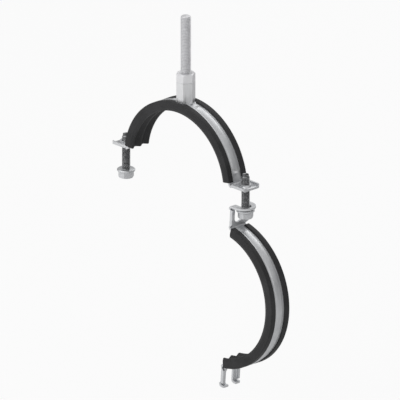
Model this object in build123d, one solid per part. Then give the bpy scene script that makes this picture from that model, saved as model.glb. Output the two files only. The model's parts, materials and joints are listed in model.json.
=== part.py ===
"""Hinged duct clamp with a rubber lining, hung from a threaded rod.

Two pressed steel half bands hold a round duct. The upper half hangs from a rod through a welded
hexagon boss. The lower half swings on one flange screw and its fork takes the other. The part is
drawn as in the picture: open, with both screws backed out.

Frame: millimetres, +Z up. The origin is the duct's centre in the upper half, midway across the
band. X runs from the latch side (-X) to the hinge side (+X). -Y is the front.
"""
import os
from math import asin, cos, degrees, hypot, radians, sin, sqrt, tan

from build123d import *

# Duct, lining and band
duct_diameter = 125.0       # measured across the lining's ridges
lining_thickness = 6.3      # from a ridge's top to the band
edge_cover = 1.7            # rubber outside each edge of the band
valley_depth = 3.0          # between the three inner ridges
ridge_width = 1.6           # flat top of a ridge
ridge_inset = 1.0           # side wall to the outer ridges
side_wall_bevel = 2.9       # slanted part of the side wall
lip_width = 5.9             # lining folded over each edge of the band
lip_thickness = 1.3
band_width = 20.0
sheet = 2.0                 # thickness of the pressed steel
lining_end_angle = 9.0      # ends of the lining above the parting plane, degrees
lining_play = 0.02          # between the rubber and the steel

# Stiffening bead pressed into the band
bead_width = 8.0
bead_height = 1.2
bead_end_angle = 15.0       # from the parting plane, degrees
bead_boss_gap = 4.0         # flat left beside the boss

# Lugs
lug_offset = 6.5            # from the duct's centre plane to the lug's parting face
bend_radius = 1.5           # inside radius where the band turns out into a lug
lug_side_play = 0.4         # between a lug's folded edges and the screw's flange
fold_radius = 1.0           # inside radius of every folded edge
upper_lug_end = 8.5         # upper lug beyond the screw's axis
upper_lip_height = 3.9      # folded side edges, with the sheet
lower_lip_height = 4.8
lug_corner = 2.5            # rounded corners of an upper lug
collar_wall = 1.8           # drawn collar that carries the screw's thread
collar_height = 2.2

# Flange screws, M8 x 35
screw_offset = 81.5         # screw axes from the duct's centre
thread_diameter = 8.0
screw_length = 35.0
pilot_diameter = 6.2
pilot_length = 2.0
hex_across_flats = 13.0
head_height = 8.4
flange_diameter = 17.2
seat_diameter = 15.8
seat_relief = 0.6           # rounded edge of the seat face
flange_edge = 1.2           # straight part of the flange's rim
flange_cone = 0.7           # height of the slope under the rim
neck_margin = 0.1           # from the slope's end to the hexagon's corners
thread_play = 0.05
latch_seat_height = -17.8   # seat face of the backed-out latch screw
hinge_seat_height = -14.6

# Hinge lug and fork of the lower half
drawn_opening = 85.7        # degrees from closed to the drawn position
slot_side_play = 0.7        # between the shank and a slot's edges
slot_play = 3.0             # shank to the inner end of the slot
pivot_below_seat = 7.4      # swing axis, measured from the screw's seat face
pivot_outward = 2.0         # and from the screw's own axis
swing_clearance = 0.15
tongue_slot_play = 1.5      # shank to the slot's end in the hinge lug's folded tongue
tongue_tip = 3.0            # metal beyond the slot
foot_play = 0.8             # between the screw's flange and the fork's feet
foot_length = 6.2           # folded ends of the fork's prongs
foot_corner = 1.5

# Boss, lock nut and rod
rod_diameter = 10.0
rod_top = 156.8
rod_engagement = 15.0
rod_end_gap = 1.0           # from the rod's lower end to the bottom of its bore
rod_pitch = 1.5             # M10 coarse thread
rod_groove_depth = 0.9      # the thread's groove where the rod's free length begins
rod_groove_gap = 0.25       # from the nut to that groove
boss_across_flats = 16.0
boss_top = 91.6
boss_chamfer_height = 2.8
boss_lip_gap = 0.5          # lining's lips stay clear of the boss
nut_height = 8.4
nut_gap = 0.05
bore_play = 0.05
edge_chamfer = 0.9

# Worked out from the sizes above
lining_width = band_width + 2 * edge_cover
ridge_radius = duct_diameter / 2
band_inner = ridge_radius + lining_thickness
band_outer = band_inner + sheet
lining_outer = band_outer + lip_thickness
band_middle = band_inner + sheet / 2
lug_middle = lug_offset + sheet / 2
lug_back = lug_offset + sheet
thread_radius = thread_diameter / 2
flange_radius = flange_diameter / 2
lug_width = flange_diameter + 2 * (lug_side_play + sheet)
upper_reach = screw_offset + upper_lug_end
collar_diameter = thread_diameter + 2 * collar_wall
slot_width = thread_diameter + 2 * slot_side_play
nut_top = boss_top + nut_gap + nut_height
past_all = 2 * upper_reach  # half length of a cutting block that reaches past every edge

# The bend arc touches the band and the lug
bend_middle = bend_radius + sheet / 2
bend_center_z = lug_back + bend_radius
bend_center_x = sqrt((band_outer + bend_radius) ** 2 - bend_center_z ** 2)
bend_angle = degrees(asin(bend_center_z / (band_outer + bend_radius)))


def rim_points():
    """Return half width and height of the flange's edge where the slot leaves metal beside it."""
    half_slot = slot_width / 2
    rim = [
        (seat_diameter / 2, 0.0),
        (flange_radius, -seat_relief),
        (flange_radius, -seat_relief - flange_edge),
    ]
    return [(sqrt(radius ** 2 - half_slot ** 2), height) for radius, height in rim]


# Distances of the hinge lug's two inner faces from the swing axis, so that the lug clears the
# screw's flange all the way round
pivot_to_web = swing_clearance + max(
    hypot(half + pivot_outward, pivot_below_seat + height) for half, height in rim_points())
pivot_to_tongue = swing_clearance + max(
    hypot(half - pivot_outward, pivot_below_seat + height) for half, height in rim_points())
tongue_lean = radians(90.0 - drawn_opening)
pivot_x = screw_offset + pivot_outward
pivot_closed_z = -(lug_back + pivot_to_web)
pivot_rest_z = hinge_seat_height - pivot_below_seat
tongue_inner_x = pivot_x + (pivot_to_tongue - pivot_to_web * sin(tongue_lean)) / cos(tongue_lean)
slot_end_x = screw_offset - thread_radius - slot_play + slot_width / 2
tongue_slot_length = pivot_to_web + sheet - pivot_outward + thread_radius + tongue_slot_play
tongue_length = tongue_slot_length + tongue_tip
fork_reach = screw_offset + max(half for half, height in rim_points()) + foot_play + sheet


def at(x, z):
    """Return a point of the side view, in the plane midway across the band."""
    return Vector(x, 0, z)


def side_arc(x, z, radius, start, sweep):
    """Return an arc of the side view, angles from +X towards +Z in degrees."""
    angles = [radians(start + sweep * share) for share in (0, 0.5, 1)]
    points = [at(x + radius * cos(angle), z + radius * sin(angle)) for angle in angles]
    return ThreePointArc(*points)


def strip(edges, width):
    """Return a sheet metal strip that follows the edges of the side view."""
    face = trace(Plane.XZ.to_local_coords(Wire(edges)), line_width=sheet)
    return extrude(Plane.XZ * face, width / 2, both=True)


def block(x0, x1, y0, y1, z0, z1):
    """Return a box between two corners."""
    size = Vector(x1 - x0, y1 - y0, z1 - z0)
    middle = Vector((x0 + x1) / 2, (y0 + y1) / 2, (z0 + z1) / 2)
    return Pos(middle) * Box(size.X, size.Y, size.Z)


def hexagon(across_flats, bottom, top):
    """Return a hexagon bar along Z with flats to the front and back."""
    sketch = RegularPolygon(across_flats / 2, 6, major_radius=False, rotation=0)
    bar = extrude(sketch, top - bottom)
    return Pos(0, 0, bottom) * bar


def chamfer_cone(across_flats, low, high, rise, big_end_up):
    """Return the turned blank that cuts the corners of a hexagon bar at one end."""
    flat = across_flats / 2
    past_corner = flat + 1.01 * (across_flats / sqrt(3) - flat)
    if big_end_up:
        profile = [(flat, low), (past_corner, low + rise), (past_corner, high)]
    else:
        profile = [(past_corner, low), (past_corner, high - rise), (flat, high)]
    face = Plane.XZ * make_face(Polyline((0, low), *profile, (0, high), close=True))
    return revolve(face, Axis.Z, 360)


def band_arc():
    """Return the side view of the half band with the two bends into its lugs."""
    bend_sweep = 90 - bend_angle
    right_bend = side_arc(bend_center_x, bend_center_z, bend_middle, 180 + bend_angle, bend_sweep)
    arch = side_arc(0, 0, band_middle, bend_angle, 180 - 2 * bend_angle)
    left_bend = side_arc(-bend_center_x, bend_center_z, bend_middle, 270, bend_sweep)
    return [right_bend, arch, left_bend]


def lug_channel(reach, lip_height, x_start):
    """Return the folded side edges of a lug on the +X side, open upwards."""
    half = lug_width / 2
    outer = fold_radius + sheet
    top = lug_offset + lip_height
    outline = FilletPolyline(
        (-half + sheet / 2, top), (-half + sheet / 2, lug_middle), (half - sheet / 2, lug_middle),
        (half - sheet / 2, top), radius=fold_radius + sheet / 2)
    section = trace(outline, line_width=sheet)
    channel = extrude(Plane.YZ * section, reach - x_start)
    channel = Pos(x_start, 0, 0) * channel
    lead = make_face(Polyline(
        (x_start, lug_offset), (reach, lug_offset), (reach, top), (x_start + outer, top),
        (x_start, lug_back), close=True))
    return channel & extrude(Plane.XZ * lead, lug_width, both=True)


def bead(inner_radius, start, sweep):
    """Return the solid under a pressed bead that stands on a cylinder of the given radius."""
    half = bead_width / 2
    base = inner_radius - bead_height / 2
    crest = inner_radius + bead_height
    half_base = half * (1 + (inner_radius - base) / bead_height)
    face = make_face(Polyline((base, -half_base), (crest, 0), (base, half_base), close=True))
    swing = Axis((0, 0, 0), (0, -1, 0))
    body = revolve(Rot(0, -start, 0) * face, swing, sweep)
    cone = Pos(base, 0, 0) * Rot(0, 90, 0) * Cone(half_base, 0, crest - base, align=(
        Align.CENTER, Align.CENTER, Align.MIN))
    for angle in (start, start + sweep):
        body = body + Rot(0, -angle, 0) * cone
    return body


def press_beads(band, spans):
    """Raise a bead on the outside of the band over each span, with its groove inside."""
    for start, sweep in spans:
        band = band + (bead(band_outer, start, sweep) - cylinder_about_y(band_middle))
    for start, sweep in spans:
        band = band - (bead(band_inner, start, sweep) - cylinder_about_y(band_inner - sheet))
    return band


def cylinder_about_y(radius):
    """Return a wide cylinder on the duct's axis."""
    return Rot(90, 0, 0) * Cylinder(radius, 2 * lining_width)


def lining():
    """Return the rubber lining of an upper half: three ridges inside, lips folded over the band."""
    half = lining_width / 2
    wall_inner = ridge_radius + side_wall_bevel
    groove_half = band_width / 2 + lining_play
    lip_edge = half - lip_width
    outer_ridge = half - ridge_inset
    valley = (outer_ridge - ridge_width / 2) / 2
    ridge_top = ridge_radius
    right = [
        (lining_outer, half),
        (wall_inner, half),
        (ridge_top, outer_ridge),
        (ridge_top, outer_ridge - ridge_width),
        (ridge_top + valley_depth, valley),
        (ridge_top, ridge_width / 2),
    ]
    inside = [
        (band_inner - lining_play, groove_half),
        (band_outer + lining_play, groove_half),
        (band_outer + lining_play, lip_edge),
        (lining_outer, lip_edge),
    ]
    left = [(radius, -y) for radius, y in reversed(right)]
    inside_left = [(radius, -y) for radius, y in reversed(inside)]
    face = make_face(Polyline(*right, *left, *inside_left, *inside, close=True))
    start = Rot(0, -lining_end_angle, 0) * face
    return revolve(start, Axis((0, 0, 0), (0, -1, 0)), 180 - 2 * lining_end_angle)


def upper_lining():
    """Return the upper half's lining, its lips cut out round the boss."""
    corner_radius = boss_across_flats / sqrt(3)
    hole = Pos(0, 0, band_outer) * Cylinder(corner_radius + boss_lip_gap, 2 * lining_thickness)
    above_band = hole - cylinder_about_y(band_outer)
    return lining() - above_band


def plan_corners(x_end, radius):
    """Return a tall block whose upright edges round the corners at both lugs' ends."""
    rounded = RectangleRounded(2 * x_end, lug_width, radius)
    return extrude(rounded, past_all, both=True)


def upper_band():
    """Return the upper half band with its two tapped lugs."""
    flat = Line(at(bend_center_x, lug_middle), at(upper_reach, lug_middle))
    flat_left = Line(at(-bend_center_x, lug_middle), at(-upper_reach, lug_middle))
    inner_width = lug_width - 2 * (fold_radius + sheet)
    band = strip(band_arc(), band_width)
    boss_angle = degrees((boss_across_flats / sqrt(3) + bead_boss_gap + bead_width / 2) / band_outer)
    span = 90 - bead_end_angle - boss_angle
    band = press_beads(band, [(bead_end_angle, span), (90 + boss_angle, span)])
    channel = lug_channel(upper_reach, upper_lip_height, bend_center_x)
    for edge, side in ((flat, 0), (flat_left, 180)):
        lug = strip([edge], inner_width) + Rot(0, 0, side) * channel
        band = band + (lug & plan_corners(upper_reach, lug_corner))
    for side in (-1, 1):
        place = Pos(side * screw_offset, 0, lug_middle)
        band = band + place * Cylinder(collar_diameter / 2, collar_height + sheet / 2, align=(
            Align.CENTER, Align.CENTER, Align.MIN))
        band = band - place * Cylinder(thread_radius + thread_play, past_all)
    return band


def hinge_slot():
    """Return the slot that runs along the hinge lug, round its fold and up its tongue."""
    half = slot_width / 2
    along = block(slot_end_x, tongue_inner_x + 2 * sheet, -half, half, 0, lug_back + 3 * sheet)
    along = along + Pos(slot_end_x, 0, lug_back) * Cylinder(half, 2 * lug_back)
    upright = Pos(tongue_inner_x, 0, lug_offset) * Rot(0, degrees(tongue_lean), 0)
    end_height = tongue_slot_length - half
    up = block(-2 * sheet, 2 * sheet, -half, half, 0, end_height)
    up = up + Pos(0, 0, end_height) * Rot(0, 90, 0) * Cylinder(half, 4 * sheet)
    return along + upright * up


def hinge_lug():
    """Return the lower half's slotted hinge lug, on the +X side and pointing up."""
    corner_x = tongue_inner_x + sheet / 2 / cos(tongue_lean) - sheet / 2 * tan(tongue_lean)
    corner = at(corner_x, lug_middle)
    along_tongue = at(sin(tongue_lean), cos(tongue_lean))
    tip = corner + along_tongue * (tongue_length - sheet / 2)
    setback = (fold_radius + sheet / 2) * tan(radians(drawn_opening) / 2)
    before = corner - at(1, 0) * setback
    after = corner + along_tongue * setback
    fold = side_arc(before.X, lug_back + fold_radius, fold_radius + sheet / 2, 270, drawn_opening)
    straight = Line(at(bend_center_x, lug_middle), before)
    inner_width = lug_width - 2 * (fold_radius + sheet)
    channel_end = before.X - fold_radius
    narrow = strip([straight], inner_width)
    channel = lug_channel(channel_end, lower_lip_height, bend_center_x)
    end = strip([Line(at(channel_end, lug_middle), before), fold, Line(after, tip)], lug_width)
    middle = Pos(corner) * Rot(0, degrees(tongue_lean), 0)
    half = lug_width / 2
    round_height = tongue_length - sheet / 2 - half
    shape = block(-past_all, past_all, -half, half, -past_all, round_height)
    shape = shape + Pos(0, 0, round_height) * Rot(0, 90, 0) * Cylinder(half, past_all)
    return narrow + channel + (end & (middle * shape)) - hinge_slot()


def fork_lug():
    """Return the lower half's fork, on the -X side and pointing up."""
    middle_x = fork_reach - sheet / 2
    feet_end = lug_offset + foot_length
    centre = at(-(middle_x - fold_radius - sheet / 2), lug_back + fold_radius)
    fold = side_arc(centre.X, centre.Z, fold_radius + sheet / 2, 180, 90)
    straight = Line(at(-bend_center_x, lug_middle), at(centre.X, lug_middle))
    upright = Line(at(-middle_x, centre.Z), at(-middle_x, feet_end))
    inner_width = lug_width - 2 * (fold_radius + sheet)
    channel_end = -centre.X - fold_radius
    narrow = strip([straight], inner_width)
    channel = Rot(0, 0, 180) * lug_channel(channel_end, lower_lip_height, bend_center_x)
    end = strip([Line(at(-channel_end, lug_middle), at(centre.X, lug_middle)), fold, upright], lug_width)
    face = RectangleRounded(lug_width, 4 * foot_length, foot_corner)
    shape = Pos(0, 0, feet_end - 2 * foot_length) * extrude(Plane.YZ * face, past_all, both=True)
    slot = block(-past_all, -slot_end_x, -slot_width / 2, slot_width / 2, 0, past_all)
    slot = slot + Pos(-slot_end_x, 0, lug_middle) * Cylinder(slot_width / 2, 4 * sheet)
    return narrow + channel + (end & shape) - slot


def open_lower(shape):
    """Turn a piece of the lower half over and swing it from closed to the drawn position."""
    closed = mirror(shape, Plane.XY)
    to_pivot = Pos(-pivot_x, 0, -pivot_closed_z)
    return Pos(pivot_x, 0, pivot_rest_z) * Rot(0, -drawn_opening, 0) * to_pivot * closed


def lower_band():
    """Return the lower half band, with hinge lug and fork, in the drawn position."""
    band = strip(band_arc(), band_width)
    band = press_beads(band, [(bead_end_angle, 180 - 2 * bead_end_angle)])
    return open_lower(band + hinge_lug() + fork_lug())


def flange_screw(x, seat_height):
    """Return a hexagon flange screw that points up, with its seat face at the given height."""
    cone_low = -seat_relief - flange_edge - flange_cone
    neck = hex_across_flats / sqrt(3) + neck_margin
    turned = [
        (0, 0), (seat_diameter / 2, 0), (flange_radius, -seat_relief),
        (flange_radius, -seat_relief - flange_edge), (neck, cone_low), (0, cone_low)]
    flange = revolve(Plane.XZ * make_face(Polyline(*turned, close=True)), Axis.Z, 360)
    head = hexagon(hex_across_flats, -head_height, -seat_relief)
    head = head & chamfer_cone(hex_across_flats, -head_height, 0, edge_chamfer, True)
    body_end = screw_length - pilot_length
    body = extrude(Circle(thread_radius), body_end)
    pilot = Pos(0, 0, body_end) * extrude(Circle(pilot_diameter / 2), pilot_length)
    return Pos(x, 0, seat_height) * (flange + head + body + pilot)


def hanger_boss():
    """Return the hexagon boss, saddled on the band and bored for the rod."""
    foot = band_outer - edge_chamfer
    bar = hexagon(boss_across_flats, foot, boss_top)
    bar = bar & chamfer_cone(boss_across_flats, foot, boss_top, boss_chamfer_height, True)
    bar = bar - cylinder_about_y(band_outer)
    return bar - Pos(0, 0, boss_top) * Cylinder(
        rod_diameter / 2 + bore_play, rod_engagement + rod_end_gap, align=(
            Align.CENTER, Align.CENTER, Align.MAX))


def lock_nut():
    """Return the lock nut that holds the rod in the boss."""
    low = nut_top - nut_height
    bar = hexagon(boss_across_flats, low, nut_top)
    bar = bar & chamfer_cone(boss_across_flats, low, nut_top, edge_chamfer, False)
    return bar - Pos(0, 0, nut_top) * Cylinder(rod_diameter / 2 + bore_play, 3 * nut_height)


def threaded_rod():
    """Return the hanger rod, from inside the boss to its free end."""
    low = boss_top - rod_engagement
    radius = rod_diameter / 2
    groove = nut_top + rod_groove_gap
    profile = [
        (0, low), (radius, low), (radius, groove), (radius - rod_groove_depth, groove + rod_pitch / 2),
        (radius, groove + rod_pitch), (radius, rod_top - edge_chamfer),
        (radius - edge_chamfer, rod_top), (0, rod_top)]
    return revolve(Plane.XZ * make_face(Polyline(*profile, close=True)), Axis.Z, 360)


def main():
    """Write one STEP file for each piece."""
    os.makedirs("parts", exist_ok=True)
    pieces = {
        "upper_band": upper_band(),
        "upper_lining": upper_lining(),
        "lower_band": lower_band(),
        "lower_lining": open_lower(lining()),
        "latch_screw": flange_screw(-screw_offset, latch_seat_height),
        "hinge_screw": flange_screw(screw_offset, hinge_seat_height),
        "hanger_boss": hanger_boss(),
        "lock_nut": lock_nut(),
        "threaded_rod": threaded_rod(),
    }
    for name, shape in pieces.items():
        export_step(shape, f"parts/{name}.step")
    print("swing axis closed", round(pivot_x, 3), round(pivot_closed_z, 3))
    print("swing axis drawn", round(pivot_x, 3), round(pivot_rest_z, 3))


main()
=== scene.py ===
"""Dresses the hinged duct clamp with its finished surfaces.

The clamp is two pressed steel half bands with a ridged rubber lining, two flange screws, a
hexagon boss with its lock nut, and a threaded rod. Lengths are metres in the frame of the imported
model: +Z runs up the rod and +Y along the duct.
"""
from __future__ import annotations

import json
import logging
import math
from dataclasses import dataclass
from enum import Enum
from typing import Any, Callable, Sequence

import bmesh
import bpy
from mathutils import Matrix, Vector

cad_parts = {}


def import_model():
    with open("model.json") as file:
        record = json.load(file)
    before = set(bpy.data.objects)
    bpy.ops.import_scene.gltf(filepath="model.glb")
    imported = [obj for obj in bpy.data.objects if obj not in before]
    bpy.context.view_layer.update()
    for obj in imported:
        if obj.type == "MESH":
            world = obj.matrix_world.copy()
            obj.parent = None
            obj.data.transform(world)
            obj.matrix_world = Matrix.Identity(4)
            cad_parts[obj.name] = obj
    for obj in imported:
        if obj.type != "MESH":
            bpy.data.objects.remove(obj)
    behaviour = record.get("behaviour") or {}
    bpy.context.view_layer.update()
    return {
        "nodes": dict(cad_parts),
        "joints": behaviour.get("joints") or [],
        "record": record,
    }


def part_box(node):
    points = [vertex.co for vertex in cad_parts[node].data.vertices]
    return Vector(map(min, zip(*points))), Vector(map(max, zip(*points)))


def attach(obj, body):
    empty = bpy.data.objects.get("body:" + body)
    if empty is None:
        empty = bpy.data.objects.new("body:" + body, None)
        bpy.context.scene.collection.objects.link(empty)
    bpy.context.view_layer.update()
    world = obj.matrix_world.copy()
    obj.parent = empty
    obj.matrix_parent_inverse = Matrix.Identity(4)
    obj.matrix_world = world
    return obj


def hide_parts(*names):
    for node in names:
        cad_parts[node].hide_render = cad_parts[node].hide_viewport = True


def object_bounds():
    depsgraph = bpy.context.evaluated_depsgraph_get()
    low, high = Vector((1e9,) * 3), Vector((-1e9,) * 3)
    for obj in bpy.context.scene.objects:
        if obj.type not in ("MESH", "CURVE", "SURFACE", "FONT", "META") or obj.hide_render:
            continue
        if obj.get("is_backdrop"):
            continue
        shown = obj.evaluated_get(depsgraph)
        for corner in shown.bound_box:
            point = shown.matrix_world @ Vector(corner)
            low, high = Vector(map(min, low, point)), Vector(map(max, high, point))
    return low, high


LOG = logging.getLogger("duct_clamp")
MM = 0.001
TURN = 2 * math.pi

Colour = tuple[float, float, float, float]
Ring = list[Vector]


class Slot(Enum):
    """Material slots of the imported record."""

    BAND = "zinc_band"
    LINING = "lining_rubber"
    SCREW = "zinc_screw"
    BOSS = "zinc_boss"
    ROD = "zinc_rod"


class Body(Enum):
    """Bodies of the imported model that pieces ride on."""

    UPPER = "upper_half"
    LOWER = "lower_half"
    LATCH_SCREW = "latch_screw"
    HINGE_SCREW = "hinge_screw"
    NUT = "lock_nut"


class NodePad:
    """Adds nodes to one node tree and links them."""

    def __init__(self, tree: bpy.types.NodeTree) -> None:
        """Keep the tree that the nodes go to.

        Args:
            tree: A shader or geometry node tree.
        """
        self.tree = tree

    def add(self, kind: str, inputs: dict[Any, Any] | None = None, **settings: Any) -> bpy.types.Node:
        """Add one node.

        Args:
            kind: The node's type name.
            inputs: Values or output sockets by input name or number.
            settings: Attributes of the node itself.

        Returns:
            The new node.
        """
        node = self.tree.nodes.new(kind)
        for name, value in settings.items():
            setattr(node, name, value)
        for key, value in (inputs or {}).items():
            if isinstance(value, bpy.types.NodeSocket):
                self.tree.links.new(value, node.inputs[key])
            else:
                node.inputs[key].default_value = value
        return node

    def math(self, operation: str, *values: Any, clamp: bool = False) -> bpy.types.NodeSocket:
        """Add a Math node and return its result.

        Args:
            operation: The Math node's operation.
            values: Up to three numbers or sockets.
            clamp: Whether the result is held between 0 and 1.

        Returns:
            The node's output socket.
        """
        node = self.add("ShaderNodeMath", dict(enumerate(values)), operation=operation, use_clamp=clamp)
        return node.outputs[0]


def cylinder_coordinates(pad: NodePad, centre: Vector) -> tuple[bpy.types.NodeSocket, bpy.types.NodeSocket]:
    """Give the angle round a ring's axis and the place across the band.

    Args:
        pad: The shader tree's pad.
        centre: The ring's centre in the frame.

    Returns:
        Sockets of the angle in radians and of Y in metres.
    """
    place = pad.add("ShaderNodeTexCoord").outputs["Object"]
    moved = pad.add("ShaderNodeMapping", {"Vector": place, "Location": -centre}).outputs[0]
    parts = pad.add("ShaderNodeSeparateXYZ", {0: moved}).outputs
    return pad.math("ARCTAN2", parts["X"], parts["Z"]), parts["Y"]


def rounded_edges(pad: NodePad, radius: float) -> tuple[bpy.types.NodeSocket, bpy.types.NodeSocket]:
    """Round a piece's sharp edges in its shading and find where they are.

    Args:
        pad: The shader tree's pad.
        radius: Radius of the rounding.

    Returns:
        Sockets of the rounded normal and of a mask that is 1 on a sharp edge.
    """
    rounded = pad.add("ShaderNodeBevel", {"Radius": radius}, samples=6).outputs[0]
    plain = pad.add("ShaderNodeNewGeometry").outputs["Normal"]
    turned = pad.add("ShaderNodeVectorMath", {0: rounded, 1: plain}, operation="DOT_PRODUCT")
    gone = pad.math("SUBTRACT", 1.0, turned.outputs["Value"])
    return rounded, pad.math("MULTIPLY", gone, 5.0, clamp=True)


@dataclass(frozen=True)
class ZincFinish:
    """Electro-plated zinc on steel, with rolling or turning marks under it and painted shade in a thread's
    valleys.
    """

    name: str
    bright: Colour
    dull: Colour
    roughness: float
    metallic: float = 0.85
    grain: float = 0.06
    cloud_size: float = 14 * MM
    edge_round: float = 0.25 * MM
    edge_share: float = 0.5
    # painted shade for a thread's valleys, and how fast it gives way to the zinc towards the crests
    valley: Colour = (0.05, 0.052, 0.055, 1)
    valley_shade_power: float = 0.7
    ring_radius: float = 70 * MM
    grain_length: float = 26 * MM
    grain_width: float = 0.35 * MM

    def material(self, centre: Vector, thread: bool = False) -> bpy.types.Material:
        """Build the finish as a material.

        Args:
            centre: The centre that the grain runs round.
            thread: Whether the piece has a thread, whose valleys then get painted shade.

        Returns:
            The new material.
        """
        made = bpy.data.materials.new(self.name)
        made.use_nodes = True
        pad = NodePad(made.node_tree)
        shader = made.node_tree.nodes["Principled BSDF"]
        shader.inputs["Metallic"].default_value = self.metallic
        place = pad.add("ShaderNodeTexCoord").outputs["Object"]
        clouds = pad.add("ShaderNodeTexNoise", {
            "Vector": place, "Scale": 1 / self.cloud_size, "Detail": 4.0, "Roughness": 0.55})
        angle, across = cylinder_coordinates(pad, centre)
        along = pad.math("MULTIPLY", angle, self.ring_radius / self.grain_length)
        fine = pad.math("MULTIPLY", across, 1 / self.grain_width)
        streak_place = pad.add("ShaderNodeCombineXYZ", {0: along, 1: fine})
        streaks = pad.add("ShaderNodeTexNoise", {
            "Vector": streak_place.outputs[0], "Scale": 1.0, "Detail": 3.0, "Roughness": 0.6})
        specks = pad.add("ShaderNodeTexNoise", {
            "Vector": place, "Scale": 1 / (0.9 * MM), "Detail": 2.0, "Roughness": 0.5})
        mixed = pad.math("MULTIPLY_ADD", streaks.outputs["Fac"], 0.35, clouds.outputs["Fac"])
        share = pad.add("ShaderNodeMapRange", {
            "Value": mixed, "From Min": 0.42, "From Max": 0.95, "To Min": 0.0, "To Max": 1.0})
        colour = pad.add("ShaderNodeMix", {
            "Factor": share.outputs[0], "A": self.dull, "B": self.bright}, data_type="RGBA")
        tint = colour.outputs["Result"]
        # painted shade: a thread's valleys are mixed towards the valley colour by the stored thread height
        if thread:
            height = pad.add("ShaderNodeAttribute", attribute_name="thread_height").outputs["Fac"]
            lit = pad.math("POWER", height, self.valley_shade_power)
            valley = pad.add("ShaderNodeMix", {
                "Factor": lit, "A": self.valley, "B": tint}, data_type="RGBA")
            tint = valley.outputs["Result"]
        rounded, edge = rounded_edges(pad, self.edge_round)
        worn = pad.math("MULTIPLY", pad.math("MULTIPLY", edge, clouds.outputs["Fac"]), self.edge_share * 2)
        rubbed = pad.add("ShaderNodeMix", {"Factor": worn, "A": tint, "B": WORN_EDGE}, data_type="RGBA")
        made.node_tree.links.new(rubbed.outputs["Result"], shader.inputs["Base Color"])
        rough = pad.math("MULTIPLY_ADD", streaks.outputs["Fac"], self.grain * 2, self.roughness - self.grain)
        rough = pad.math("MULTIPLY_ADD", specks.outputs["Fac"], self.grain, rough)
        rough = pad.math("MULTIPLY_ADD", worn, -0.08, rough)
        made.node_tree.links.new(rough, shader.inputs["Roughness"])
        heights = pad.math("MULTIPLY_ADD", specks.outputs["Fac"], 0.5, streaks.outputs["Fac"])
        bump = pad.add("ShaderNodeBump", {
            "Height": heights, "Strength": 0.25, "Distance": 0.02 * MM, "Normal": rounded})
        made.node_tree.links.new(bump.outputs[0], shader.inputs["Normal"])
        return made


@dataclass(frozen=True)
class RubberFinish:
    """Extruded black rubber with a matt skin and a little bloom."""

    name: str
    deep: Colour
    bloom: Colour
    scuffed: Colour
    roughness: float
    edge_round: float = 0.35 * MM
    grain_size: float = 0.5 * MM
    cloud_size: float = 18 * MM

    def material(self, centre: Vector) -> bpy.types.Material:
        """Build the finish as a material.

        Args:
            centre: The centre that the extrusion's lines run round.

        Returns:
            The new material.
        """
        made = bpy.data.materials.new(self.name)
        made.use_nodes = True
        pad = NodePad(made.node_tree)
        shader = made.node_tree.nodes["Principled BSDF"]
        shader.inputs["Specular IOR Level"].default_value = 0.28
        place = pad.add("ShaderNodeTexCoord").outputs["Object"]
        clouds = pad.add("ShaderNodeTexNoise", {
            "Vector": place, "Scale": 1 / self.cloud_size, "Detail": 5.0, "Roughness": 0.6})
        skin = pad.add("ShaderNodeTexNoise", {
            "Vector": place, "Scale": 1 / self.grain_size, "Detail": 2.0, "Roughness": 0.6})
        angle, across = cylinder_coordinates(pad, centre)
        lines = pad.add("ShaderNodeTexNoise", {
            "Vector": pad.add("ShaderNodeCombineXYZ", {
                0: pad.math("MULTIPLY", angle, 1.2), 1: pad.math("MULTIPLY", across, 1400.0)}).outputs[0],
            "Scale": 1.0, "Detail": 2.0})
        share = pad.add("ShaderNodeMapRange", {
            "Value": clouds.outputs["Fac"], "From Min": 0.35, "From Max": 0.8})
        colour = pad.add("ShaderNodeMix", {
            "Factor": share.outputs[0], "A": self.deep, "B": self.bloom}, data_type="RGBA")
        rounded, edge = rounded_edges(pad, self.edge_round)
        scuff = pad.math("MULTIPLY", edge, clouds.outputs["Fac"])
        rubbed = pad.add("ShaderNodeMix", {
            "Factor": scuff, "A": colour.outputs["Result"], "B": self.scuffed}, data_type="RGBA")
        made.node_tree.links.new(rubbed.outputs["Result"], shader.inputs["Base Color"])
        rough = pad.math("MULTIPLY_ADD", lines.outputs["Fac"], 0.16, self.roughness - 0.08)
        made.node_tree.links.new(rough, shader.inputs["Roughness"])
        heights = pad.math("MULTIPLY_ADD", lines.outputs["Fac"], 0.7, skin.outputs["Fac"])
        bump = pad.add("ShaderNodeBump", {
            "Height": heights, "Strength": 0.35, "Distance": 0.05 * MM, "Normal": rounded})
        made.node_tree.links.new(bump.outputs[0], shader.inputs["Normal"])
        return made


WORN_EDGE: Colour = (0.88, 0.89, 0.9, 1)
BAND_ZINC = ZincFinish("band_zinc", (0.76, 0.77, 0.785, 1), (0.62, 0.63, 0.645, 1), 0.36)
BOSS_ZINC = ZincFinish("boss_zinc", (0.84, 0.845, 0.855, 1), (0.72, 0.725, 0.735, 1), 0.38)
# the screws' thread valleys get near-black painted shade and the rod's a light painted shade
SCREW_ZINC = ZincFinish("screw_zinc", (0.72, 0.73, 0.745, 1), (0.58, 0.59, 0.605, 1), 0.36,
                        valley=(0.008, 0.008, 0.009, 1), valley_shade_power=3.5)
ROD_ZINC = ZincFinish("rod_zinc", (0.88, 0.88, 0.895, 1), (0.8, 0.8, 0.815, 1), 0.5, metallic=0.65,
                      valley=(0.66, 0.66, 0.675, 1))
LINING_RUBBER = RubberFinish("lining_rubber", (0.019, 0.019, 0.02, 1), (0.038, 0.038, 0.04, 1),
                             (0.13, 0.13, 0.133, 1), 0.52)


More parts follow.
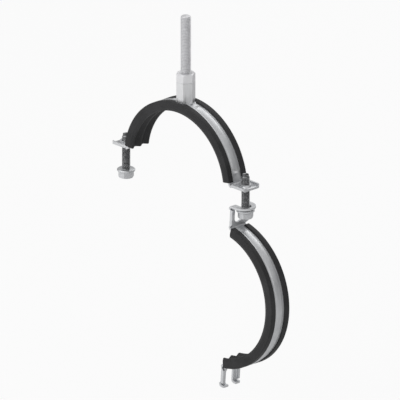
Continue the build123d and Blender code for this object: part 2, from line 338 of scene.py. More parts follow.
def add_piece(name: str, mesh: bpy.types.Mesh, body: Body, nodes: Sequence[str],
              material: bpy.types.Material) -> bpy.types.Object:
    """Put a finished mesh in the scene as a piece that stands for CAD nodes.

    Args:
        name: The piece's name.
        mesh: Its mesh, in the frame.
        body: The body that it rides on.
        nodes: The CAD nodes that it stands for.
        material: Its finish.

    Returns:
        The new object.
    """
    mesh.materials.clear()
    mesh.materials.append(material)
    piece = bpy.data.objects.new(name, mesh)
    bpy.context.scene.collection.objects.link(piece)
    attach(piece, body.value)
    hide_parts(*nodes)
    LOG.info("%s: %d faces on %s", name, len(mesh.polygons), body.value)
    return piece


def smooth_by_angle(mesh: bpy.types.Mesh, degrees: float = 32.0) -> None:
    """Shade a mesh smooth and keep its sharp edges.

    Args:
        mesh: The mesh.
        degrees: Edges that turn by more than this stay sharp.
    """
    mesh.shade_smooth()
    mesh.set_sharp_from_angle(angle=math.radians(degrees))


def evaluated_mesh(holder: bpy.types.Object) -> bpy.types.Mesh:
    """Turn an object with modifiers into a plain mesh and remove the object.

    Args:
        holder: The object.

    Returns:
        The finished mesh.
    """
    depsgraph = bpy.context.evaluated_depsgraph_get()
    mesh = bpy.data.meshes.new_from_object(holder.evaluated_get(depsgraph))
    bpy.data.objects.remove(holder)
    return mesh


def bevelled(mesh: bpy.types.Mesh, width: float, segments: int, degrees: float) -> bpy.types.Mesh:
    """Round a mesh's edges.

    Args:
        mesh: The mesh.
        width: Width of the bevel.
        segments: Number of strips in it.
        degrees: Only edges that turn by more than this are rounded.

    Returns:
        The rounded mesh.
    """
    holder = bpy.data.objects.new("rounding", mesh)
    bpy.context.scene.collection.objects.link(holder)
    bevel = holder.modifiers.new("Bevel", "BEVEL")
    bevel.width = width
    bevel.segments = segments
    bevel.limit_method = "ANGLE"
    bevel.angle_limit = math.radians(degrees)
    return evaluated_mesh(holder)


def merged_copy(source: bpy.types.Mesh, name: str) -> bpy.types.Mesh:
    """Copy a mesh with its loose triangles joined and its slivers dissolved.

    Args:
        source: The mesh.
        name: The new mesh's name.

    Returns:
        The joined mesh.
    """
    work = bmesh.new()
    work.from_mesh(source)
    bmesh.ops.remove_doubles(work, verts=work.verts, dist=0.002 * MM)
    bmesh.ops.dissolve_degenerate(work, edges=work.edges, dist=0.002 * MM)
    bmesh.ops.recalc_face_normals(work, faces=work.faces)
    mesh = bpy.data.meshes.new(name)
    work.to_mesh(mesh)
    work.free()
    return mesh


def mesh_of_rings(name: str, rings: Sequence[Ring], wrap: bool = False) -> bpy.types.Mesh:
    """Build a closed mesh from rings with the same number of points.

    Args:
        name: The mesh's name.
        rings: The rings in order. A ring whose points coincide becomes a pole.
        wrap: Whether the last ring joins the first, and if not, both ends are closed.

    Returns:
        The mesh, with its faces pointing out.
    """
    work = bmesh.new()
    rows = [[work.verts.new(point) for point in ring] for ring in rings]
    count = len(rings[0])
    for low, high in zip(rows, rows[1:] + ([rows[0]] if wrap else [])):
        for i in range(count):
            j = (i + 1) % count
            work.faces.new((low[i], low[j], high[j], high[i]))
    if not wrap:
        work.faces.new(rows[0])
        work.faces.new(rows[-1])
    bmesh.ops.remove_doubles(work, verts=work.verts, dist=0.0005 * MM)
    bmesh.ops.recalc_face_normals(work, faces=work.faces)
    mesh = bpy.data.meshes.new(name)
    work.to_mesh(mesh)
    work.free()
    return mesh


def circle(radius: float, z: float, steps: int) -> Ring:
    """Return a ring of points on a circle about Z."""
    return [Vector((radius * math.cos(TURN * i / steps), radius * math.sin(TURN * i / steps), z))
            for i in range(steps)]


def joined(name: str, meshes: Sequence[bpy.types.Mesh]) -> bpy.types.Mesh:
    """Join meshes into one.

    Args:
        name: The new mesh's name.
        meshes: The meshes.

    Returns:
        The joined mesh, with the attributes of all of them.
    """
    holders = []
    for mesh in meshes:
        holder = bpy.data.objects.new(name, mesh)
        bpy.context.scene.collection.objects.link(holder)
        holders.append(holder)
    with bpy.context.temp_override(
            active_object=holders[0], selected_editable_objects=holders, selected_objects=holders):
        bpy.ops.object.join()
    mesh = holders[0].data.copy()
    bpy.data.objects.remove(holders[0])
    return mesh


@dataclass
class HexBar:
    """A hexagon bar about Z whose corners are turned off at one or both ends."""

    across_flats: float
    steps: int = 96

    SHARP = 18.0            # edges that turn by more stay sharp, in degrees

    def radius(self, i: int) -> float:
        """Return the bar's radius at step i, with corners on +X and -X."""
        angle = (TURN * i / self.steps) % (TURN / 6) - TURN / 12
        return self.across_flats / 2 / math.cos(angle)

    def outline(self, height: Callable[[float, int], float], inset: float = 0.0) -> Ring:
        """Return the hexagon's outline.

        Args:
            height: Gives Z from the radius and the step.
            inset: How far the outline is drawn in.

        Returns:
            The ring of points.
        """
        points = []
        for i in range(self.steps):
            radius = self.radius(i) - inset
            angle = TURN * i / self.steps
            points.append(Vector((radius * math.cos(angle), radius * math.sin(angle), height(radius, i))))
        return points

    def corner_rise(self, rise: float) -> Callable[[float, int], float]:
        """Return how far a turned-off corner lies from the bar's end, for a rise at the corners."""
        flat = self.across_flats / 2
        slope = rise / (self.across_flats / math.sqrt(3) - flat)
        return lambda radius, i: max(0.0, (radius - flat) * slope)


def run_tree(tree: bpy.types.NodeTree, name: str, start: bpy.types.Mesh,
             values: dict[str, Any]) -> bpy.types.Mesh:
    """Run a geometry node tree on a mesh.

    Args:
        tree: The tree.
        name: The result's name.
        start: The mesh that it starts from.
        values: The tree's inputs by name.

    Returns:
        The result as a plain mesh.
    """
    holder = bpy.data.objects.new(name, start)
    bpy.context.scene.collection.objects.link(holder)
    nodes = holder.modifiers.new("Tree", "NODES")
    nodes.node_group = tree
    for item in tree.interface.items_tree:
        if item.in_out == "INPUT" and item.name in values:
            nodes[item.identifier] = values[item.name]
    return evaluated_mesh(holder)


@dataclass
class SectionSweep:
    """A closed section swept round an arc in the XZ plane by a node tree."""

    section: list[tuple[float, float]]
    path_radius: float
    start_angle: float
    steps: int

    @classmethod
    def tree(cls) -> bpy.types.NodeTree:
        """Build the node tree, or return it if it is there.

        Returns:
            The geometry node tree.
        """
        made = bpy.data.node_groups.get("section_sweep")
        if made:
            return made
        made = bpy.data.node_groups.new("section_sweep", "GeometryNodeTree")
        made.interface.new_socket("Section", in_out="INPUT", socket_type="NodeSocketGeometry")
        for name in ("Path Radius", "Start Angle", "Sweep Angle"):
            made.interface.new_socket(name, in_out="INPUT", socket_type="NodeSocketFloat")
        made.interface.new_socket("Steps", in_out="INPUT", socket_type="NodeSocketInt")
        made.interface.new_socket("Material", in_out="INPUT", socket_type="NodeSocketMaterial")
        made.interface.new_socket("Geometry", in_out="OUTPUT", socket_type="NodeSocketGeometry")
        pad = NodePad(made)
        given = pad.add("NodeGroupInput").outputs
        path = pad.add("GeometryNodeCurveArc", {
            "Resolution": given["Steps"], "Radius": given["Path Radius"],
            "Start Angle": given["Start Angle"], "Sweep Angle": given["Sweep Angle"]})
        profile = pad.add("GeometryNodeMeshToCurve", {"Mesh": given["Section"]})
        swept = pad.add("GeometryNodeCurveToMesh", {
            "Curve": path.outputs[0], "Profile Curve": profile.outputs[0], "Fill Caps": True})
        stood = pad.add("GeometryNodeTransform", {
            "Geometry": swept.outputs[0], "Rotation": (math.pi / 2, 0, 0)})
        real = pad.add("GeometryNodeRealizeInstances", {"Geometry": stood.outputs[0]})
        dressed = pad.add("GeometryNodeSetMaterial", {
            "Geometry": real.outputs[0], "Material": given["Material"]})
        pad.add("NodeGroupOutput", {"Geometry": dressed.outputs[0]})
        return made

    def mesh(self, name: str, material: bpy.types.Material) -> bpy.types.Mesh:
        """Run the tree on the section.

        Args:
            name: The mesh's name.
            material: The finish that the tree sets.

        Returns:
            The swept mesh, closed at both ends.
        """
        outline = bpy.data.meshes.new(name)
        count = len(self.section)
        points = [(x, y, 0) for x, y in self.section]
        outline.from_pydata(points, [(i, (i + 1) % count) for i in range(count)], [])
        return run_tree(self.tree(), name, outline, {
            "Path Radius": self.path_radius, "Start Angle": self.start_angle,
            "Sweep Angle": math.pi - 2 * self.start_angle, "Steps": self.steps + 1,
            "Material": material,
        })


@dataclass
class ThreadedStud:
    """A threaded stud about Z, made by a node tree from one sheared grid."""

    crest_radius: float
    pitch: float
    low: float
    high: float
    tip_radius: float
    tip_start: float
    low_radius: float
    columns: int = 40
    rows_per_turn: int = 16

    ROOT_SHARE = 0.61       # depth of an outer metric thread by its pitch
    CREST_HALF = 0.125      # half of the crest's flat, by half the pitch
    ROOT_HALF = 0.75        # where the valley's flat begins, by half the pitch

    @classmethod
    def tree(cls) -> bpy.types.NodeTree:
        """Build the node tree, or return it if it is there.

        Returns:
            The geometry node tree.
        """
        made = bpy.data.node_groups.get("threaded_stud")
        if made:
            return made
        made = bpy.data.node_groups.new("threaded_stud", "GeometryNodeTree")
        for name in ("Crest Radius", "Root Radius", "Pitch", "Low", "High", "Tip Radius", "Tip Start",
                     "Low Radius", "Cap", "Length"):
            made.interface.new_socket(name, in_out="INPUT", socket_type="NodeSocketFloat")
        for name in ("Columns", "Rows"):
            made.interface.new_socket(name, in_out="INPUT", socket_type="NodeSocketInt")
        made.interface.new_socket("Material", in_out="INPUT", socket_type="NodeSocketMaterial")
        made.interface.new_socket("Geometry", in_out="OUTPUT", socket_type="NodeSocketGeometry")
        pad = NodePad(made)
        given = pad.add("NodeGroupInput").outputs
        grid = pad.add("GeometryNodeMeshGrid", {
            "Size X": TURN, "Size Y": given["Length"],
            "Vertices X": given["Columns"], "Vertices Y": given["Rows"]})
        parts = pad.add("ShaderNodeSeparateXYZ", {0: pad.add("GeometryNodeInputPosition").outputs[0]}).outputs
        angle = pad.math("ADD", parts["X"], math.pi)
        climb = pad.math("MULTIPLY", pad.math("DIVIDE", angle, TURN), given["Pitch"])
        start = pad.math("SUBTRACT", pad.math("SUBTRACT", given["Low"], given["Cap"]), given["Pitch"])
        along = pad.math("ADD", pad.math("MULTIPLY_ADD", given["Length"], 0.5, parts["Y"]), start)
        free_z = pad.math("ADD", along, climb)
        z = pad.math("MINIMUM", pad.math("MAXIMUM", free_z, given["Low"]), given["High"])
        beyond = pad.math("DIVIDE", pad.math("ABSOLUTE", pad.math("SUBTRACT", free_z, z)), given["Cap"])
        kept = pad.math("SUBTRACT", 1.0, beyond, clamp=True)
        phase = pad.math("FRACT", pad.math("DIVIDE", pad.math("SUBTRACT", z, climb), given["Pitch"]))
        from_crest = pad.math("MULTIPLY", pad.math("ABSOLUTE", pad.math("SUBTRACT", phase, 0.5)), 2.0)
        height = pad.math("DIVIDE", pad.math("SUBTRACT", cls.ROOT_HALF, from_crest),
                          cls.ROOT_HALF - cls.CREST_HALF, clamp=True)
        depth = pad.math("SUBTRACT", given["Crest Radius"], given["Root Radius"])
        radius = pad.math("MULTIPLY_ADD", depth, height, given["Root Radius"])
        to_tip = pad.math("MAXIMUM", pad.math("SUBTRACT", given["Tip Start"], z), 0.0)
        radius = pad.math("MINIMUM", radius, pad.math("ADD", given["Tip Radius"], to_tip))
        from_low = pad.math("SUBTRACT", z, given["Low"])
        radius = pad.math("MINIMUM", radius, pad.math("ADD", given["Low Radius"], from_low))
        radius = pad.math("MULTIPLY", radius, kept)
        spot = pad.add("ShaderNodeCombineXYZ", {
            0: pad.math("MULTIPLY", radius, pad.math("COSINE", angle)),
            1: pad.math("MULTIPLY", radius, pad.math("SINE", angle)), 2: z})
        # the height in the thread is stored for the finish, which paints shade into the valleys by it
        named = pad.add("GeometryNodeStoreNamedAttribute", {
            "Geometry": grid.outputs["Mesh"], "Name": "thread_height", "Value": height},
            data_type="FLOAT", domain="POINT")
        placed = pad.add("GeometryNodeSetPosition", {
            "Geometry": named.outputs[0], "Position": spot.outputs[0]})
        closed = pad.add("GeometryNodeMergeByDistance", {
            "Geometry": placed.outputs[0], "Distance": 0.001 * MM})
        real = pad.add("GeometryNodeRealizeInstances", {"Geometry": closed.outputs[0]})
        dressed = pad.add("GeometryNodeSetMaterial", {
            "Geometry": real.outputs[0], "Material": given["Material"]})
        pad.add("NodeGroupOutput", {"Geometry": dressed.outputs[0]})
        return made

    def mesh(self, name: str, material: bpy.types.Material) -> bpy.types.Mesh:
        """Run the tree with this stud's sizes.

        Args:
            name: The mesh's name.
            material: The finish that the tree sets.

        Returns:
            The stud as a plain mesh.
        """
        cap = self.pitch / 4
        row = self.pitch / self.rows_per_turn
        rows = math.ceil((self.high - self.low + 2 * cap + self.pitch) / row)
        values = {
            "Crest Radius": self.crest_radius,
            "Root Radius": self.crest_radius - self.ROOT_SHARE * self.pitch,
            "Pitch": self.pitch, "Low": self.low, "High": self.high,
            "Tip Radius": self.tip_radius, "Tip Start": self.tip_start, "Low Radius": self.low_radius,
            "Cap": cap, "Length": rows * row, "Columns": self.columns + 1, "Rows": rows + 1,
            "Material": material,
        }
        return run_tree(self.tree(), name, bpy.data.meshes.new(name), values)


@dataclass
class FlangeScrew:
    """A hexagon flange screw that points up and stands for one CAD node."""

    node: str
    body: Body
    thread_diameter: float = 8 * MM
    pitch: float = 1.25 * MM
    pilot_diameter: float = 6.2 * MM
    pilot_length: float = 2 * MM
    across_flats: float = 13 * MM
    seat_radius: float = 7.9 * MM
    seat_relief: float = 0.6 * MM
    flange_radius: float = 8.6 * MM
    flange_edge: float = 1.2 * MM
    flange_cone: float = 1.3 * MM
    corner_rise: float = 0.9 * MM
    head_height: float = 8.4 * MM
    dish_radius: float = 4.6 * MM
    dish_depth: float = 0.35 * MM
    neck: float = 0.9 * MM

    def head(self) -> bpy.types.Mesh:
        """Return the head with its flange, the seat face at Z 0."""
        bar = HexBar(self.across_flats)
        flat = self.across_flats / 2
        rim_low = -self.seat_relief - self.flange_edge
        cone = self.flange_cone / (self.flange_radius - flat)
        rise = bar.corner_rise(self.corner_rise)
        steps = bar.steps
        rings = [
            circle(0.0, 0.0, steps),
            circle(self.seat_radius, 0.0, steps),
            circle(self.flange_radius, -self.seat_relief, steps),
            circle(self.flange_radius, rim_low, steps),
            bar.outline(lambda radius, i: rim_low - (self.flange_radius - radius) * cone),
            bar.outline(lambda radius, i: rise(radius, i) - self.head_height),
            circle(flat * 0.985, -self.head_height, steps),
            circle(self.dish_radius + self.dish_depth, -self.head_height, steps),
            circle(self.dish_radius, -self.head_height + self.dish_depth, steps),
            circle(0.0, -self.head_height + self.dish_depth, steps),
        ]
        return bevelled(mesh_of_rings("head", rings), 0.12 * MM, 2, 24)

    def build(self) -> bpy.types.Object:
        """Build the screw on its node's place.

        Returns:
            The finished piece.
        """
        low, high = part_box(self.node)
        axis_x = (low.x + high.x) / 2
        seat = low.z + self.head_height
        length = high.z - seat
        material = SCREW_ZINC.material(Vector((axis_x, 0, seat)), thread=True)
        stud = ThreadedStud(
            crest_radius=self.thread_diameter / 2, pitch=self.pitch, low=-self.neck, high=length,
            tip_radius=self.pilot_diameter / 2, tip_start=length - self.pilot_length,
            low_radius=self.thread_diameter / 2 - 0.61 * self.pitch)
        head = self.head()
        # the head has no thread, so it gets none of the painted valley shade
        bright = head.attributes.new("thread_height", "FLOAT", "POINT")
        bright.data.foreach_set("value", [1.0] * len(head.vertices))
        mesh = joined(self.node, [stud.mesh("stud", material), head])
        mesh.transform(Matrix.Translation((axis_x, 0, seat)))
        smooth_by_angle(mesh, HexBar.SHARP)
        return add_piece(self.node + "_finished", mesh, self.body, [self.node], material)


@dataclass
class HangerHead:
    """The welded hexagon boss, its lock nut and the threaded rod."""

    across_flats: float = 16 * MM
    band_radius: float = 70.8 * MM
    boss_corner_rise: float = 2.8 * MM
    nut_corner_rise: float = 0.9 * MM
    rod_diameter: float = 10 * MM
    rod_pitch: float = 1.5 * MM
    rod_chamfer: float = 0.9 * MM
    bore_radius: float = 5.05 * MM
    mouth_chamfer: float = 0.5 * MM
    saddle_rings: int = 4

    def saddle(self, radius: float, i: int, steps: int) -> float:
        """Return the band's height under a point of the boss."""
        x = radius * math.cos(TURN * i / steps)
        return math.sqrt(self.band_radius ** 2 - x ** 2)

    def boss(self) -> bpy.types.Object:
        """Build the boss, saddled on the band.

        Returns:
            The finished piece.
        """
        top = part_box("hanger_boss")[1].z
        bar = HexBar(self.across_flats)
        foot = self.band_radius - self.nut_corner_rise
        rise = bar.corner_rise(self.boss_corner_rise)
        steps = bar.steps
        flat = self.across_flats / 2
        slope = self.boss_corner_rise / (self.across_flats / math.sqrt(3) - flat)
        inner, wall = [], []
        for i in range(steps):
            angle = TURN * i / steps
            corner = bar.radius(i)
            meets = min(corner, flat + (self.saddle(flat, i, steps) - foot) / slope)
            inner.append(Vector((meets * math.cos(angle), meets * math.sin(angle),
                                 self.saddle(meets, i, steps))))
            height = max(self.saddle(corner, i, steps), foot + rise(corner, i))
            wall.append(Vector((corner * math.cos(angle), corner * math.sin(angle), height)))
        under = []
        for k in range(self.saddle_rings):
            share = k / self.saddle_rings
            ring = []
            for i, point in enumerate(inner):
                radius = share * math.hypot(point.x, point.y)
                ring.append(Vector((point.x * share, point.y * share, self.saddle(radius, i, steps))))
            under.append(ring)
        rings = under + [
            inner, wall,
            bar.outline(lambda radius, i: top),
            circle(self.bore_radius, top, steps),
            circle(self.bore_radius, top - self.rod_diameter * 1.6, steps),
            circle(0.0, top - self.rod_diameter * 1.6, steps),
        ]
        mesh = bevelled(mesh_of_rings("boss", rings), 0.18 * MM, 2, 24)
        smooth_by_angle(mesh, HexBar.SHARP)
        material = BOSS_ZINC.material(Vector((0, 0, 0)))
        return add_piece("hanger_boss_finished", mesh, Body.UPPER, ["hanger_boss"], material)

    def nut(self) -> bpy.types.Object:
        """Build the lock nut.

        Returns:
            The finished piece.
        """
        low, high = (corner.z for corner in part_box("lock_nut"))
        bar = HexBar(self.across_flats)
        rise = bar.corner_rise(self.nut_corner_rise)
        small = bar.corner_rise(self.nut_corner_rise / 3)
        steps = bar.steps
        rings = [
            circle(self.bore_radius, low, steps),
            circle(self.across_flats / 2 * 0.985, low, steps),
            bar.outline(lambda radius, i: low + small(radius, i)),
            bar.outline(lambda radius, i: high - rise(radius, i)),
            circle(self.across_flats / 2 * 0.985, high, steps),
            circle(self.bore_radius + self.mouth_chamfer, high, steps),
            circle(self.bore_radius, high - self.mouth_chamfer, steps),
        ]
        mesh = bevelled(mesh_of_rings("nut", rings, wrap=True), 0.14 * MM, 2, 24)
        smooth_by_angle(mesh, HexBar.SHARP)
        material = ROD_ZINC.material(Vector((0, 0, low)))
        return add_piece("lock_nut_finished", mesh, Body.NUT, ["lock_nut"], material)

    def rod(self) -> bpy.types.Object:
        """Build the threaded rod.

        Returns:
            The finished piece.
        """
        low, high = (corner.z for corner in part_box("threaded_rod"))
        radius = self.rod_diameter / 2
        material = ROD_ZINC.material(Vector((0, 0, low)), thread=True)
        stud = ThreadedStud(
            crest_radius=radius, pitch=self.rod_pitch, low=low, high=high,
            tip_radius=radius - self.rod_chamfer, tip_start=high, low_radius=radius - self.rod_chamfer)
        mesh = stud.mesh("rod", material)
        smooth_by_angle(mesh)
        return add_piece("threaded_rod_finished", mesh, Body.UPPER, ["threaded_rod"], material)


@dataclass
class HalfRing:
    """One half of the clamp: its pressed band and its rubber lining."""

    name: str
    body: Body
    centre: Vector
    place: Matrix
    boss_notch: bool = False
    ridge_radius: float = 62.5 * MM
    band_inner: float = 68.8 * MM
    band_outer: float = 70.8 * MM
    lip_thickness: float = 1.3 * MM
    lip_width: float = 5.9 * MM
    band_half: float = 10 * MM
    lining_half: float = 11.7 * MM
    wall_bevel: float = 2.9 * MM
    valley_depth: float = 3 * MM
    ridge_width: float = 1.6 * MM
    ridge_inset: float = 1 * MM
    lining_play: float = 0.02 * MM
    end_angle: float = 9.0
    notch_radius: float = 9.74 * MM
    steps: int = 162

    BAND_SHARP = 14.5       # the bead's edges stay crisp and the folds smooth, in degrees

    def lining_outline(self) -> list[tuple[float, float, float]]:
        """Return the lining's section as radius, Y and corner radius, round the outside and the band."""
        outer = self.band_outer + self.lip_thickness
        half = self.lining_half
        outer_ridge = half - self.ridge_inset
        valley = (outer_ridge - self.ridge_width / 2) / 2
        lip_edge = half - self.lip_width
        groove = self.band_half + self.lining_play
        top = self.ridge_radius
        right = [
            (outer, half, 0.45 * MM),
            (top + self.wall_bevel, half, 0.5 * MM),
            (top, outer_ridge, 0.35 * MM),
            (top, outer_ridge - self.ridge_width, 0.45 * MM),
            (top + self.valley_depth, valley, 1.1 * MM),
            (top, self.ridge_width / 2, 0.45 * MM),
        ]
        inside = [
            (self.band_inner - self.lining_play, groove, 0.15 * MM),
            (self.band_outer + self.lining_play, groove, 0.15 * MM),
            (self.band_outer + self.lining_play, lip_edge, 0.1 * MM),
            (outer, lip_edge, 0.7 * MM),
        ]
        left = [(radius, -y, round_) for radius, y, round_ in reversed(right)]
        inside_left = [(radius, -y, round_) for radius, y, round_ in reversed(inside)]
        return [*right, *left, *inside_left, *inside]

    def lining(self) -> bpy.types.Object:
        """Sweep the lining's section round the half ring.

        Returns:
            The finished piece.
        """
        material = LINING_RUBBER.material(self.centre)
        section = [(radius - self.band_inner, y) for radius, y in rounded_outline(self.lining_outline(), 5)]
        sweep = SectionSweep(section, self.band_inner, math.radians(self.end_angle), self.steps)
        mesh = sweep.mesh("lining", material)
        if self.boss_notch:
            mesh = self.notched(mesh)
        mesh.transform(self.place)
        if self.place.determinant() < 0:
            mesh.flip_normals()
        smooth_by_angle(mesh, 40)
        name = self.name + "_lining"
        return add_piece(name + "_finished", mesh, self.body, [name], material)

    def notched(self, mesh: bpy.types.Mesh) -> bpy.types.Mesh:
        """Cut the lips away round the boss.

        Args:
            mesh: The lining's mesh.

        Returns:
            The cut mesh.
        """
        low = self.band_outer - self.lip_thickness
        high = self.band_outer + 4 * self.lip_thickness
        cutter = bpy.data.objects.new("notch", mesh_of_rings(
            "notch", [circle(self.notch_radius, low, 72), circle(self.notch_radius, high, 72)]))
        holder = bpy.data.objects.new("lips", mesh)
        for made in (cutter, holder):
            bpy.context.scene.collection.objects.link(made)
        cut = holder.modifiers.new("Notch", "BOOLEAN")
        cut.operation = "DIFFERENCE"
        cut.solver = "EXACT"
        cut.object = cutter
        result = evaluated_mesh(holder)
        bpy.data.objects.remove(cutter)
        return merged_copy(result, "lining")

    def band(self, nodes: dict[str, bpy.types.Object]) -> bpy.types.Object:
        """Dress the pressed band.

        Args:
            nodes: The CAD nodes by name.

        Returns:
            The finished piece.
        """
        name = self.name + "_band"
        mesh = merged_copy(nodes[name].data, name)
        smooth_by_angle(mesh, self.BAND_SHARP)
        material = BAND_ZINC.material(self.centre)
        return add_piece(name + "_finished", mesh, self.body, [name], material)


def rounded_outline(corners: Sequence[tuple[float, float, float]], steps: int) -> list[tuple[float, float]]:
    """Round the corners of a closed outline.

    Args:
        corners: Each corner's two coordinates and its radius.
        steps: Straight pieces in each rounded corner.

    Returns:
        The outline's points.
    """
    points = []
    count = len(corners)
    for i, (x, y, radius) in enumerate(corners):
        here = Vector((x, y))
        before = Vector(corners[i - 1][:2]) - here
        after = Vector(corners[(i + 1) % count][:2]) - here
        half = before.angle(after) / 2
        setback = min(radius / math.tan(half), before.length * 0.45, after.length * 0.45)
        start = here + before.normalized() * setback
        end = here + after.normalized() * setback
        for k in range(steps + 1):
            t = k / steps
            weight = math.cos(math.pi / 2 - half)
            bottom = (1 - t) ** 2 + 2 * weight * t * (1 - t) + t ** 2
            point = (start * (1 - t) ** 2 + here * (2 * weight * t * (1 - t)) + end * t ** 2) / bottom
            points.append((point.x, point.y))
    return points


@dataclass
class Studio:
    """The plain pale floor, the soft lights and the camera."""

    azimuth: float = 46.6
    elevation: float = 20.4
    frame_width: float = 0.3752
    aim_right: float = 13.28 * MM
    aim_down: float = 25.79 * MM
    camera_distance: float = 2.0
    floor_drop: float = 40 * MM
    floor_size: float = 30.0
    shade_x: float = 0.6
    shade_y: float = 0.8
    shade_level: float = 0.4
    world_strength: float = 0.55

    def camera(self) -> bpy.types.Object:
        """Make the camera at the drawing's viewing angle, with parallel rays.

        Returns:
            The camera.
        """
        a, e = math.radians(self.azimuth), math.radians(self.elevation)
        back = Vector((math.sin(a) * math.cos(e), -math.cos(a) * math.cos(e), math.sin(e)))
        right = Vector((math.cos(a), math.sin(a), 0))
        up = Vector((-math.sin(a) * math.sin(e), math.cos(a) * math.sin(e), math.cos(e)))
        data = bpy.data.cameras.new("camera")
        data.type = "ORTHO"
        data.ortho_scale = self.frame_width
        data.clip_start = 0.01
        data.clip_end = 50.0
        camera = bpy.data.objects.new("camera", data)
        camera.location = right * self.aim_right - up * self.aim_down + back * self.camera_distance
        camera.rotation_mode = "QUATERNION"
        camera.rotation_quaternion = (-back).to_track_quat("-Z", "Y")
        bpy.context.scene.collection.objects.link(camera)
        bpy.context.scene.camera = camera
        return camera

    def floor(self) -> bpy.types.Object:
        """Make the pale floor under the clamp.

        Returns:
            The floor.
        """
        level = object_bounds()[0].z - self.floor_drop
        half = self.floor_size / 2
        mesh = bpy.data.meshes.new("floor")
        corners = [(-half, -half, level), (half, -half, level), (half, half, level), (-half, half, level)]
        mesh.from_pydata(corners, [], [(0, 1, 2, 3)])
        material = bpy.data.materials.new("floor_white")
        material.use_nodes = True
        pad = NodePad(material.node_tree)
        shader = material.node_tree.nodes["Principled BSDF"]
        shader.inputs["Base Color"].default_value = (0.86, 0.86, 0.86, 1)
        shader.inputs["Roughness"].default_value = 0.9
        rays = pad.add("ShaderNodeLightPath").outputs
        seen = pad.math("MAXIMUM", rays["Is Camera Ray"], rays["Is Glossy Ray"])
        seen = pad.math("MAXIMUM", seen, rays["Is Transmission Ray"])
        share = pad.math("MULTIPLY", seen, 0.86)
        place = pad.add("ShaderNodeTexCoord").outputs["Object"]
        away = pad.add("ShaderNodeVectorMath", {0: place, 1: (self.shade_x, self.shade_y, 0)},
                       operation="DOT_PRODUCT").outputs["Value"]
        flat = pad.add("ShaderNodeVectorMath", {0: place, 1: (1, 1, 0)}, operation="MULTIPLY").outputs[0]
        reach = pad.add("ShaderNodeVectorMath", {0: flat}, operation="LENGTH").outputs["Value"]
        side = pad.math("DIVIDE", away, pad.math("ADD", reach, 0.05))
        falling = pad.add("ShaderNodeMapRange", {
            "Value": side, "From Min": -1.0, "From Max": 1.0, "To Min": 1.0, "To Max": self.shade_level})
        strength = pad.math("MAXIMUM", falling.outputs[0], rays["Is Camera Ray"])
        glow = pad.add("ShaderNodeEmission", {"Color": (1, 1, 1, 1), "Strength": strength})
        mix = pad.add("ShaderNodeMixShader", {0: share, 1: shader.outputs[0], 2: glow.outputs[0]})
        output = material.node_tree.nodes["Material Output"]
        material.node_tree.links.new(mix.outputs[0], output.inputs["Surface"])
        mesh.materials.append(material)
        floor = bpy.data.objects.new("floor", mesh)
        bpy.context.scene.collection.objects.link(floor)
        floor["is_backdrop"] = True
        return floor

    def world(self) -> None:
        """Make the white surroundings, with a softer light from all round."""
        world = bpy.data.worlds.new("studio")
        world.use_nodes = True
        bpy.context.scene.world = world
        pad = NodePad(world.node_tree)
        direction = pad.add("ShaderNodeTexCoord").outputs["Generated"]
        up = pad.add("ShaderNodeSeparateXYZ", {0: direction}).outputs["Z"]
        band = pad.add("ShaderNodeMapRange", {
            "Value": up, "From Min": -0.1, "From Max": 0.75, "To Min": 0.16, "To Max": 1.0})
        grey = pad.add("ShaderNodeCombineColor", {
            0: band.outputs[0], 1: band.outputs[0], 2: band.outputs[0]}).outputs[0]
        rays = pad.add("ShaderNodeLightPath").outputs
        soft = pad.add("ShaderNodeBackground", {"Color": grey, "Strength": self.world_strength})
        white = pad.add("ShaderNodeBackground", {"Color": (1, 1, 1, 1), "Strength": 1.0})
        seen = pad.math("MAXIMUM", rays["Is Camera Ray"], rays["Is Transmission Ray"])
        mix = pad.add("ShaderNodeMixShader", {0: seen, 1: soft.outputs[0], 2: white.outputs[0]})
        output = next(n for n in world.node_tree.nodes if n.type == "OUTPUT_WORLD")
        world.node_tree.links.new(mix.outputs[0], output.inputs["Surface"])

    def light(self, name: str, spot: Vector, size: float, power: float) -> bpy.types.Object:
        """Add one soft lamp that points at the clamp.

        Args:
            name: The lamp's name.
            spot: Where it stands.
            size: The side of its square face.
            power: Its power in watts.

        Returns:
            The lamp.
        """
        data = bpy.data.lights.new(name, "AREA")
        data.size = size
        data.energy = power
        lamp = bpy.data.objects.new(name, data)
        lamp.location = spot
        aim = Vector((0, 0, -0.03)) - spot
        lamp.rotation_mode = "QUATERNION"
        lamp.rotation_quaternion = aim.to_track_quat("-Z", "Y")
        bpy.context.scene.collection.objects.link(lamp)
        return lamp

    def build(self) -> None:
        """Set up the floor, the world, the lamps and the camera."""
        bpy.context.scene.view_settings.view_transform = "Standard"
        self.camera()
        self.floor()
        self.world()
        self.light("key", Vector((-0.5, -1.1, 1.1)), 2.2, 16.0)
        self.light("fill", Vector((1.5, -0.5, 0.5)), 1.7, 5.0)
        self.light("back", Vector((-0.4, 1.3, 0.9)), 1.4, 6.0)


def lower_place(record: dict[str, Any], joints: list[dict[str, Any]]) -> Matrix:
    """Return the move that takes an upper half to the drawn place of the lower half.

    Args:
        record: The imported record.
        joints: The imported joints.

    Returns:
        The matrix, which mirrors as well.
    """
    swing = next(joint for joint in joints if joint["name"] == "lower_half_swing")
    seat = next(mount for mount in record["mounts"] if mount["name"] == "lower_duct_seat")
    turn = Matrix.Rotation(math.radians(min(swing["range_deg"])), 4, "Y")
    mirror = Matrix.Diagonal((1, 1, -1, 1))
    return Matrix.Translation(seat["pos_m"]) @ turn @ mirror


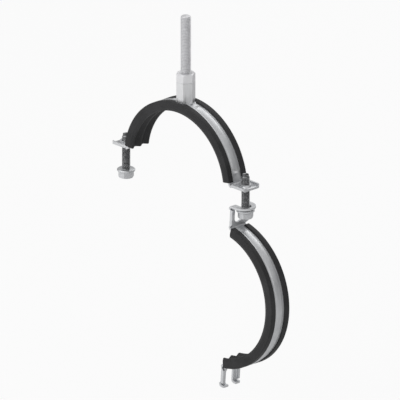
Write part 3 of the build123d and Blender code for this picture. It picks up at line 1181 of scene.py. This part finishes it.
def main() -> None:
    """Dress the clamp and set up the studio."""
    logging.basicConfig(level=logging.INFO, format="%(message)s")
    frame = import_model()
    place = lower_place(frame["record"], frame["joints"])
    halves = (
        HalfRing("upper", Body.UPPER, Vector((0, 0, 0)), Matrix.Identity(4), boss_notch=True),
        HalfRing("lower", Body.LOWER, place.translation.copy(), place),
    )
    for half in halves:
        half.band(frame["nodes"])
        half.lining()
    for screw in (FlangeScrew("latch_screw", Body.LATCH_SCREW), FlangeScrew("hinge_screw", Body.HINGE_SCREW)):
        screw.build()
    head = HangerHead()
    head.boss()
    head.nut()
    head.rod()
    Studio().build()


if __name__ == "__main__":
    main()
